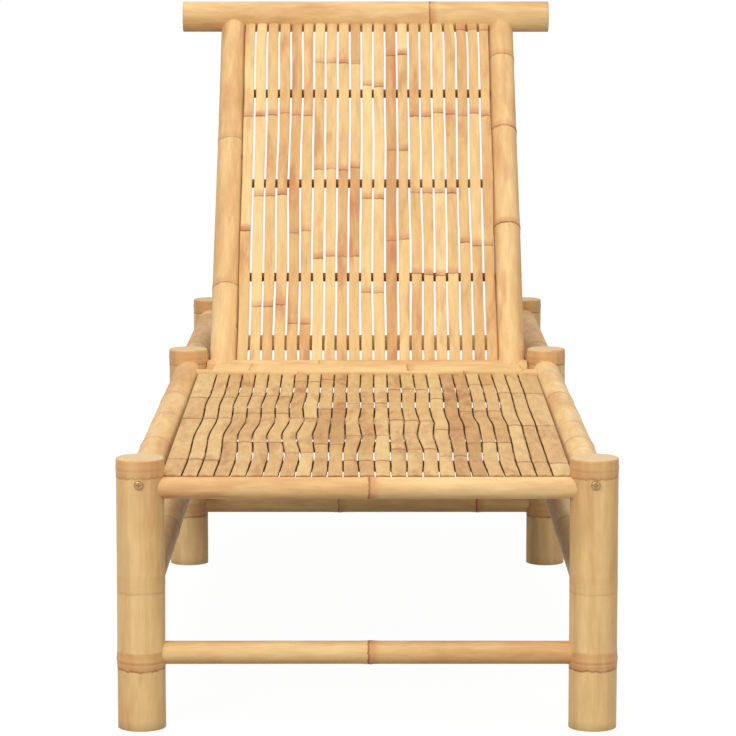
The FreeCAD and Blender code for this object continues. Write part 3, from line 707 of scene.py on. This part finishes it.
def make_cross_poles():
    """The poles between two legs, and the one between the two side rails."""
    seed = 71
    # Name, place, radius, nodes and their rise, and the legs' place and radius
    spans = (("seat_front_rail", FRONT_RAIL_Y, RAIL_Z, FRONT_RAIL_R, [(275, 1.0)], 0.6,
              FRONT_Y, FRONT_POST_R),
             ("front_stretcher", FRONT_Y, CROSS_STRETCHER_Z, 0.0139, [(275, 1.0)], 0.7,
              FRONT_Y, FRONT_POST_R),
             ("middle_stretcher", MIDDLE_Y, CROSS_STRETCHER_Z, 0.0135, [(229, 1.0), (439, 1.0)],
              0.7, MIDDLE_Y, BACK_POST_R),
             ("rear_stretcher", REAR_Y, REAR_STRETCHER_Z, 0.019, [(166, 1.0), (391, 1.0)], 1.1,
              REAR_Y, BACK_POST_R))
    for label, y, z, radius, nodes, rise, post_y, post_r in spans:
        pole = Culm(f"{label}_culm", (-POST_X, y, z), (POST_X, y, z), (radius, radius), nodes,
                    seed, rise=rise, sides=36,
                    cope=(post_cope(post_y, post_r, -1), post_cope(post_y, post_r, 1)))
        pole.make("frame", "pole_bamboo", POLE_SKIN, [label])
        seed += 1
    y, z = middle_of("seat_rear_rail")
    pole = Culm("seat_rear_rail_culm", (-POST_X, y, z), (POST_X, y, z), (0.0129, 0.0129),
                [(190, 1.0), (400, 1.0)], seed, rise=0.6, sides=32,
                cope=(rail_cope(-1), rail_cope(1)))
    pole.make("frame", "pole_bamboo", POLE_SKIN, ["seat_rear_rail"])


def middle_of(node):
    """Middle of a node's box, across the lounger's length and height."""
    low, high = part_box(node)
    return (low.y + high.y) / 2, (low.z + high.z) / 2


# Seat

# Shared wander of the seat's gaps, as {gap number: [(mm behind the slats' front, mm)]}
SEAT_WANDER = {
    0: [(0, 0), (120, 0.8), (330, -1.2), (500, 1.6), (640, -1.0), (760, 1.0), (980, 0)],
    4: [(0, 0), (150, 2.0), (350, -3.2), (470, 2.6), (640, -0.5), (760, 1.5), (980, -0.5)],
    8: [(0, 0.5), (170, 3.2), (345, -5.0), (480, 2.5), (600, -1.0), (740, 1.2), (980, 0)],
    12: [(0, 0), (190, -2.8), (330, 2.6), (470, -1.5), (610, 1.4), (760, -0.8), (980, 0)],
    16: [(0, -0.5), (200, 3.0), (340, -2.5), (470, 1.8), (600, -1.6), (770, 0.8), (980, 0)],
    20: [(0, 0.5), (120, -2.0), (330, 2.2), (430, 2.8), (520, -1.8), (700, 1.5), (980, 0)],
    25: [(0, 0.3), (150, 0.5), (330, -0.6), (480, 0.8), (640, -0.5), (780, 0.5), (980, 0)],
}


def seat_wander(index, at):
    marks = list(SEAT_WANDER)
    for first, last in zip(marks, marks[1:]):
        if index <= last:
            share = (index - first) / (last - first)
            low = smooth_line(SEAT_WANDER[first], at / MM)
            return (low + (smooth_line(SEAT_WANDER[last], at / MM) - low) * share) * MM
    return 0.0


def make_seat():
    pitch, count, gap, thickness = 0.0193, 25, 0.0019, 0.0065
    rail_gap, seat_end = 0.0004, FRONT_Y + 0.983
    start = FRONT_RAIL_Y + FRONT_RAIL_R + rail_gap
    length = seat_end - start
    # The outer slats' free edges: half width at the front, the cut corner, the flare behind it
    half_width, corner, corner_run, flare = 0.2424, 0.0035, 0.02, 0.004
    rng = random.Random(7)

    def edge(index, side):
        centre = (index - count / 2) * pitch + side * gap / 2
        own = rng.uniform(0, 60)

        def line(at):
            if index in (0, count):
                reach = half_width + corner * min(at / corner_run, 1.0) + flare * at / length
                return reach if index else -reach
            fine = 0.0005 * noise.noise(Vector((own, at * 30, 0.0)))
            return centre + seat_wander(index, at) + fine
        return line

    # Neighbours that were split from one culm share its nodes: first, last, nodes in mm
    groups = [(0, 2, [120, 493, 703]), (3, 6, [267, 540, 718]), (7, 8, [176, 493, 880]),
              (9, 10, [252, 587, 905]), (11, 13, [110, 330, 640]), (14, 16, [205, 470, 790]),
              (17, 18, [150, 385, 690]), (19, 21, [262, 560, 845]), (22, 24, [95, 420, 750])]
    tones = [0.3, 0.4, 0.35, 0.5, 0.3, 0.45, 0.35, 0.5, 0.15, 0.55, 0.6, 0.4, 0.55, 0.2, 0.3, 0.25,
             0.35, 0.3, 0.95, 0.7, 0.35, 0.45, 0.3, 0.35, 0.3]
    strips = Strips((0, start, SEAT_TOP_Z - thickness), (1, 0, 0), (0, 1, 0), length, thickness,
                    0.0010, 5)
    lines = [(edge(i, 1), edge(i + 1, -1)) for i in range(count)]
    for first, last, nodes in groups:
        for index in range(first, last + 1):
            own = [n * MM + rng.uniform(-5, 5) * MM for n in nodes]
            strips.add(*lines[index], own, 0.5 * MM, tones[index])
    strips.surface.build("seat_strips", "frame", "split_bamboo", SEAT_SKIN, ["seat_slats"])


def make_seat_end():
    """The wide lath and the thin strip across the seat's head end, both along X."""
    half, depth, thickness, crown, end_slant = 0.236, 0.033, 0.0075, 0.008, 0.0105
    y, _ = middle_of("seat_end_lath")
    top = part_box("seat_end_lath")[1].z

    def slanted(height):
        cut = end_slant * min(max((height + crown) / (thickness + crown), 0.0), 1.0)
        return cut, 2 * half - cut

    lath = Strips((-half, y, top - thickness), (0, -1, 0), (1, 0, 0), 2 * half, thickness,
                  crown, 31, ends=slanted, sagging=True)
    lath.add(lambda at: -depth, lambda at: depth, [0.058, 0.300], 0.5 * MM, 0.25)
    lath.surface.build("seat_end_lath_strip", "frame", "split_bamboo", LATH_SKIN,
                       ["seat_end_lath"])
    low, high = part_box("seat_edge_strip")
    reach = 0.2502
    strip = Strips((-reach, (low.y + high.y) / 2, low.z), (0, -1, 0), (1, 0, 0), 2 * reach,
                   high.z - low.z, 0.0004, 32)
    deep = (high.y - low.y) / 2
    strip.add(lambda at: -deep, lambda at: deep, [0.150, 0.395], 0.2 * MM, 0.3)
    strip.surface.build("seat_edge_strip_bar", "frame", "split_bamboo", LATH_SKIN,
                        ["seat_edge_strip"])


# Backrest

PIVOT_R = 0.019
BAR_R = 0.025
BAR_LEAD = 0.0048
BAR_ALONG = 0.715
SLAT_THICKNESS = 0.006
SLAT_BACK = 0.0147 - SLAT_THICKNESS
# How far the top bar sits to one side, and how little a dressed bar is thinner than its node
BAR_SHIFT = -0.0024
TOP_BAR_SKIN_R = 0.0249
PIVOT_SKIN_R = 0.0188
TOP_BAR_HALF = 0.2980
PIVOT_BAR_HALF = 0.2417


def make_backrest_strips():
    pitch, count, gap = 0.01896, 21, 0.0033
    rng = random.Random(19)

    def ends(height):
        lead = SLAT_BACK + height
        low = math.sqrt((PIVOT_R - 0.0005) ** 2 - lead ** 2)
        high = BAR_ALONG - math.sqrt((BAR_R - 0.0004) ** 2 - (lead - BAR_LEAD) ** 2)
        return low, high

    foot, head = ends(0.0)
    length = head - foot

    def edge(index, side):
        centre = (index - count / 2) * pitch
        own = rng.uniform(0, 60)
        seed = index * 0.31

        def line(at):
            shared = noise.noise(Vector((seed, at * 5.5, 3.3))) * 0.0024
            fine = noise.noise(Vector((own, at * 22, 0.0))) * 0.0005
            ease = min(1.0, at / 0.03, (length - at) / 0.03)
            return centre + side * gap / 2 + (shared + fine) * max(ease, 0.2)
        return line

    groups = [(0, 0, [265, 500]), (1, 3, [120, 335, 500]), (4, 5, [90, 265, 500]),
              (6, 9, [215, 390, 610]), (10, 11, [150, 330, 560]), (12, 13, [250, 430, 625]),
              (14, 17, [180, 340, 500]), (18, 20, [240, 500, 678])]
    tones = [0.35, 0.15, 0.55, 0.4, 0.5, 0.65, 0.2, 0.3, 0.45, 0.6, 0.25, 0.3, 0.85, 0.2, 0.45,
             0.3, 0.25, 0.35, 0.5, 0.4, 0.55]
    strips = Strips(on_backrest(0, SLAT_BACK, 0), (1, 0, 0), ALONG, length, SLAT_THICKNESS,
                    0.0010, 8, ends=ends)
    lines = [(edge(i, 1), edge(i + 1, -1)) for i in range(count)]
    for first, last, nodes in groups:
        for index in range(first, last + 1):
            own = [n * MM - foot + rng.uniform(-4, 4) * MM for n in nodes]
            strips.add(*lines[index], own, 0.45 * MM, tones[index], 0.25)
    strips.surface.build("backrest_strips", "backrest", "split_bamboo", BACK_SKIN,
                         ["backrest_slats"])


def bar_cope(lead, along, radius):
    return (on_backrest(0, lead, along), Vector((1, 0, 0)), radius - 0.0006)


def make_backrest():
    # Nodes as (mm along, strength), knots as (mm along, bearing in degrees, mm wide)
    nodes = {-1: [(158, 0.7), (449, 0.5)], 1: [(276, 1.0), (472, 1.0), (624, 0.8)]}
    knots = {-1: [(82, 60, 4.5), (410, 62, 4)], 1: [(540, -50, 3), (330, 20, 2.5)]}
    for name, side in (("left", -1), ("right", 1)):
        pole = Culm(f"stile_{name}_culm", on_backrest(side * STILE_X, 0, 0),
                    on_backrest(side * STILE_X, 0, BAR_ALONG), (0.0214, 0.0202), nodes[side],
                    90 + side, rise=0.9, sides=48, knots=knots[side], bow=0.8,
                    cope=(bar_cope(0, 0, PIVOT_R), bar_cope(BAR_LEAD, BAR_ALONG, BAR_R)))
        pole.make("backrest", "pole_bamboo", POLE_SKIN, [f"stile_{name}"])
    centre = on_backrest(BAR_SHIFT, BAR_LEAD, BAR_ALONG)
    reach = Vector((TOP_BAR_HALF, 0, 0))
    pole = Culm("top_bar_culm", centre - reach, centre + reach,
                (TOP_BAR_SKIN_R, TOP_BAR_SKIN_R), [(404, 0.9)], 97, rise=0.6, sides=56,
                cap=("hollow", "hollow"))
    pole.make("backrest", "pole_bamboo", POLE_SKIN, ["top_bar"])
    reach = Vector((PIVOT_BAR_HALF, 0, 0))
    pole = Culm("pivot_bar_culm", PIVOT - reach, PIVOT + reach, (PIVOT_SKIN_R, PIVOT_SKIN_R),
                [(170, 0.6)], 98, rise=0.4, sides=40, cap=("tenon", "tenon"))
    pole.make("backrest", "pole_bamboo", POLE_SKIN, ["pivot_bar"])


def make_prop_bar():
    low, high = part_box("prop_bar")
    y, z = middle_of("prop_bar")
    pole = Culm("prop_bar_culm", (low.x + 0.0007, y, z), (high.x - 0.0007, y, z),
                (0.0124, 0.0124), [(239, 1.0)], 120, rise=0.6, sides=32)
    pole.make("prop", "pole_bamboo", POLE_SKIN, ["prop_bar"])


# Bolt heads: a rim, a domed top and a cross-shaped recess, as (radius mm, rise mm) steps

BOLT_STEPS = [(5.5, -0.6), (5.5, 1.2), (5.2, 1.9), (4.6, 2.5), (3.9, 2.9), (3.2, 3.1)]
BOLT_FOOT = -0.6
RECESS_TOP = 3.1
RECESS_FLOOR = 1.2


def recess_radius(angle, rise):
    """Outline of the cross-shaped recess, a little smaller at its floor."""
    return 1.0 + 1.7 * abs(math.cos(2 * angle)) ** 5 - (0.3 if rise == RECESS_FLOOR else 0.0)


def make_bolt_heads(node, outward):
    _, z = middle_of(node)
    low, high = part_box(node)
    y = high.y if outward < 0 else low.y
    surface = Surface()
    sides = 48
    for centre_x in (-POST_X, POST_X):
        rows = []
        for radius, rise in BOLT_STEPS + [(None, RECESS_TOP), (None, RECESS_FLOOR)]:
            row = []
            for index in range(sides):
                angle = 2 * math.pi * index / sides
                r = recess_radius(angle, rise) if radius is None else radius
                place = Vector((centre_x + r * MM * math.cos(angle), y + outward * rise * MM,
                                z + r * MM * math.sin(angle)))
                row.append(surface.point(place, tuple(place)))
            rows.append(row)
        for one, two in zip(rows, rows[1:]):
            if outward < 0:
                surface.bridge(one, two)
            else:
                surface.bridge(two, one)
        for row, rise, flip in ((rows[-1], RECESS_FLOOR, outward > 0),
                                (rows[0], BOLT_FOOT, outward < 0)):
            hub = surface.point(Vector((centre_x, y + outward * rise * MM, z)), (0, 0, 0))
            surface.fan(row, hub, flip)
    surface.build(f"{node}_heads", "frame", "steel", STEEL, [node], sharp=35)


def dress_kept_nodes():
    """Give the nodes whose own meshes stay their materials."""
    # The seat and backrest rods get the rod material, whose dark brown is painted shade
    plain = {"seat_rods": ROD_PAINTED_SHADE_SKIN, "backrest_rods": ROD_PAINTED_SHADE_SKIN, "prop_rack_left": RACK_SKIN,
             "prop_rack_right": RACK_SKIN, "prop_leg_left": LEG_SKIN,
             "prop_leg_right": LEG_SKIN, "prop_pins": STEEL}
    for name, material in plain.items():
        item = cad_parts[name]
        item.data.materials.clear()
        item.data.materials.append(material)


# Stage, light and camera

WARM_WHITE = (1.0, 0.985, 0.96)
WORLD_STRENGTH = 0.66
FLOOR_SIZE = 40.0
# How much of the floor's own shading, and so of the shadow, the camera sees
SHADOW_SHARE = 0.07
# Name, place, size in metres and power in watts
LAMPS = (("key", (-1.6, -3.8, 2.7), 2.4, 80), ("fill", (2.6, -3.4, 1.7), 2.5, 20),
         ("top", (0.0, 0.3, 3.4), 2.6, 24))
LAMP_TARGET = Vector((0, 0, 0.35))
CAMERA_PLACE = (0.0, -4.965, 0.9329)
CAMERA_TILT = math.radians(90 - 7.02)
CAMERA_YAW = math.radians(-0.0137)
CAMERA_LENS = 167.6


def make_stage():
    material = bpy.data.materials.new("studio_floor")
    n = Nodes(material)
    path = n.add("ShaderNodeLightPath")
    seen = n.math("MAXIMUM", path.outputs["Is Camera Ray"],
                  n.math("MAXIMUM", path.outputs["Is Glossy Ray"],
                         path.outputs["Is Transmission Ray"]))
    white = n.add("ShaderNodeEmission", {"Color": (1, 1, 1, 1), "Strength": 1.03})
    shaded = n.add("ShaderNodeBsdfDiffuse", {"Color": (0.95, 0.95, 0.95, 1)})
    shown = n.add("ShaderNodeMixShader",
                  {0: SHADOW_SHARE, 1: white.outputs[0], 2: shaded.outputs[0]})
    plain = n.add("ShaderNodeBsdfDiffuse", {"Color": (0.30, 0.29, 0.27, 1)})
    both = n.add("ShaderNodeMixShader", {0: seen, 1: plain.outputs[0], 2: shown.outputs[0]})
    n.add("ShaderNodeOutputMaterial", {"Surface": both.outputs[0]})
    mesh = bpy.data.meshes.new("studio_floor")
    corners = [(x * FLOOR_SIZE, y * FLOOR_SIZE, 0) for x, y in ((-1, -1), (1, -1), (1, 1), (-1, 1))]
    mesh.from_pydata(corners, [], [(0, 1, 2, 3)])
    mesh.materials.append(material)
    floor = bpy.data.objects.new("studio_floor", mesh)
    bpy.context.scene.collection.objects.link(floor)


def make_light():
    world = bpy.data.worlds.new("studio")
    bpy.context.scene.world = world
    n = Nodes(world)
    path = n.add("ShaderNodeLightPath")
    seen = n.math("MAXIMUM", path.outputs["Is Camera Ray"], path.outputs["Is Transmission Ray"])
    shown = n.add("ShaderNodeBackground", {"Strength": 1.0, "Color": (1, 1, 1, 1)})
    given = n.add("ShaderNodeBackground",
                  {"Strength": WORLD_STRENGTH, "Color": (*WARM_WHITE, 1)})
    both = n.add("ShaderNodeMixShader", {0: seen, 1: given.outputs[0], 2: shown.outputs[0]})
    n.add("ShaderNodeOutputWorld", {"Surface": both.outputs[0]})
    for name, place, size, power in LAMPS:
        lamp = bpy.data.lights.new(name, "AREA")
        lamp.energy = power
        lamp.size = size
        lamp.color = WARM_WHITE
        item = bpy.data.objects.new(name, lamp)
        item.location = place
        item.rotation_euler = (LAMP_TARGET - Vector(place)).to_track_quat("-Z", "Y").to_euler()
        bpy.context.scene.collection.objects.link(item)


def make_camera():
    camera = bpy.data.cameras.new("camera")
    camera.lens = CAMERA_LENS
    camera.sensor_width = 36.0
    camera.clip_end = 200.0
    item = bpy.data.objects.new("camera", camera)
    item.location = CAMERA_PLACE
    item.rotation_euler = (CAMERA_TILT, 0.0, CAMERA_YAW)
    bpy.context.scene.collection.objects.link(item)
    bpy.context.scene.camera = item
    bpy.context.scene.view_settings.view_transform = "Standard"


make_camera()
make_stage()
make_light()
make_posts()
make_rails()
make_cross_poles()
make_seat()
make_seat_end()
make_backrest_strips()
make_backrest()
make_prop_bar()
make_bolt_heads("front_bolts", -1)
make_bolt_heads("rear_bolts", 1)
dress_kept_nodes()

bpy.context.view_layer.update()
